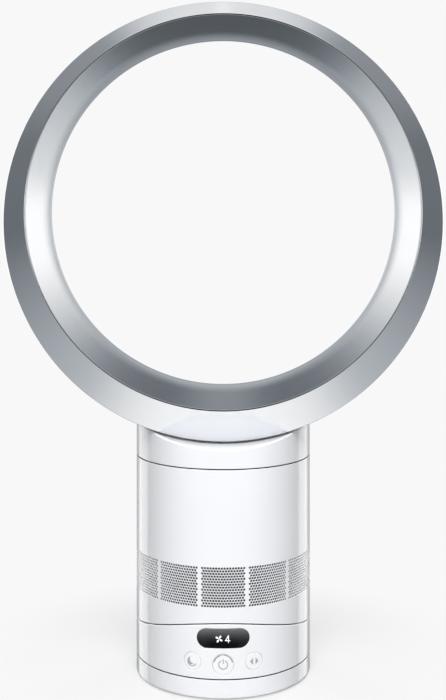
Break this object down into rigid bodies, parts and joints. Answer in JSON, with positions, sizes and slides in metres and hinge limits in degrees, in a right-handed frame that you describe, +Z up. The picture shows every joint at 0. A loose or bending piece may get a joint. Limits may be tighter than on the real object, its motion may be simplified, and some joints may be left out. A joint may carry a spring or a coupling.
{
  "type": "bladeless fan",
  "caption": "Bladeless desk fan: a hollow air ring on a round body that tilts in a curved cradle and sweeps on its stand, with a perforated inlet band, a display and push buttons.",
  "frame": {"origin": "on the floor, on the vertical axis of the round base", "axes": "+Z up, -Y towards the front where the air comes out, +X to the right seen from the front"},
  "size_m": [0.3528, 0.145, 0.5509],
  "materials": {
    "body_white": "glossy moulded ABS",
    "ring_silver": "silver metallic lacquer on moulded ABS",
    "button_white": "glossy moulded ABS",
    "display_black": "polished tinted acrylic",
    "inner_grey": "moulded, unpolished",
    "rubber_black": "matt",
    "gear_nylon": "moulded nylon",
    "steel": "turned",
    "bearing_steel": "ground",
    "bush_bronze": "sintered",
    "ballast_iron": "as cast",
    "board_green": "coated board",
    "foam_black": "open-cell foam"
  },
  "bodies": {
    "stand": {"stand_shell": "body_white", "stand_plate": "inner_grey", "stand_feet": "rubber_black", "ballast_ring": "ballast_iron", "stand_screws": "steel", "power_inlet": "inner_grey", "sweep_spindle": "steel", "spindle_nut": "steel", "sweep_gear": "gear_nylon", "glide_ring": "gear_nylon"},
    "control_base": {"base_shell": "body_white", "base_floor": "inner_grey", "floor_screws": "steel", "pivot_bush": "bush_bronze", "sweep_motor": "steel", "motor_screws": "steel", "main_board": "board_green", "panel_board": "board_green", "panel_switches": "rubber_black", "button_domes": "rubber_black", "display_window": "display_black", "display_module": "inner_grey", "remote_receiver": "rubber_black"},
    "pinion": {"sweep_pinion": "gear_nylon"},
    "sleep_key": {"sleep_button": "button_white"},
    "power_key": {"power_button": "button_white"},
    "sweep_key": {"sweep_button": "button_white"},
    "main_body": {"tilt_runners": "inner_grey", "runner_screws": "steel", "lower_casing": "body_white", "driver_board": "board_green", "lower_foam": "foam_black", "inlet_grille": "body_white", "upper_casing": "body_white", "body_collar": "inner_grey", "collar_screws": "steel", "impeller_housing": "inner_grey", "diffuser": "inner_grey", "motor_cover": "inner_grey", "motor_bearings": "bearing_steel", "motor_stator": "steel", "rubber_mounts": "rubber_black", "upper_foam": "foam_black", "duct_seal": "rubber_black"},
    "fan_rotor": {"impeller": "gear_nylon", "motor_rotor": "steel", "motor_shaft": "steel"},
    "loop": {"neck_shell": "body_white", "loop_duct": "inner_grey", "outer_casing": "ring_silver", "front_bezel": "ring_silver", "inner_casing": "ring_silver", "rear_trim": "ring_silver"}
  },
  "joints": [
    {"name": "sweep", "type": "hinge", "parent": "stand", "child": "control_base", "pos_m": [0, 0, 0.017], "axis": [0, 0, 1], "range_deg": [-35, 35]},
    {"name": "pinion_turn", "type": "hinge", "parent": "control_base", "child": "pinion", "pos_m": [0, 0.0376, 0.0136], "axis": [0, 0, 1], "range_deg": [-141, 141]},
    {"name": "tilt", "type": "hinge", "parent": "control_base", "child": "main_body", "pos_m": [0, 0, 0.2281], "axis": [1, 0, 0], "range_deg": [-10, 10]},
    {"name": "impeller_spin", "type": "hinge", "parent": "main_body", "child": "fan_rotor", "pos_m": [0, 0, 0.115], "axis": [0, 0, 1], "continuous": true},
    {"name": "loop_twist", "type": "hinge", "parent": "main_body", "child": "loop", "pos_m": [0, 0, 0.17], "axis": [0, 0, 1], "range_deg": [0, 15]},
    {"name": "sleep_press", "type": "slide", "parent": "control_base", "child": "sleep_key", "axis": [0.3371, 0.9415, 0], "range_m": [0, 0.0008], "stiffness_N_per_m": 2500, "springref_m": -0.0004},
    {"name": "power_press", "type": "slide", "parent": "control_base", "child": "power_key", "axis": [0, 1, 0], "range_m": [0, 0.0008], "stiffness_N_per_m": 2500, "springref_m": -0.0004},
    {"name": "sweep_press", "type": "slide", "parent": "control_base", "child": "sweep_key", "axis": [-0.3371, 0.9415, 0], "range_m": [0, 0.0008], "stiffness_N_per_m": 2500, "springref_m": -0.0004}
  ],
  "couplings": [
    {"joint": "pinion_turn", "follows": "sweep", "ratio": 4}
  ]
}
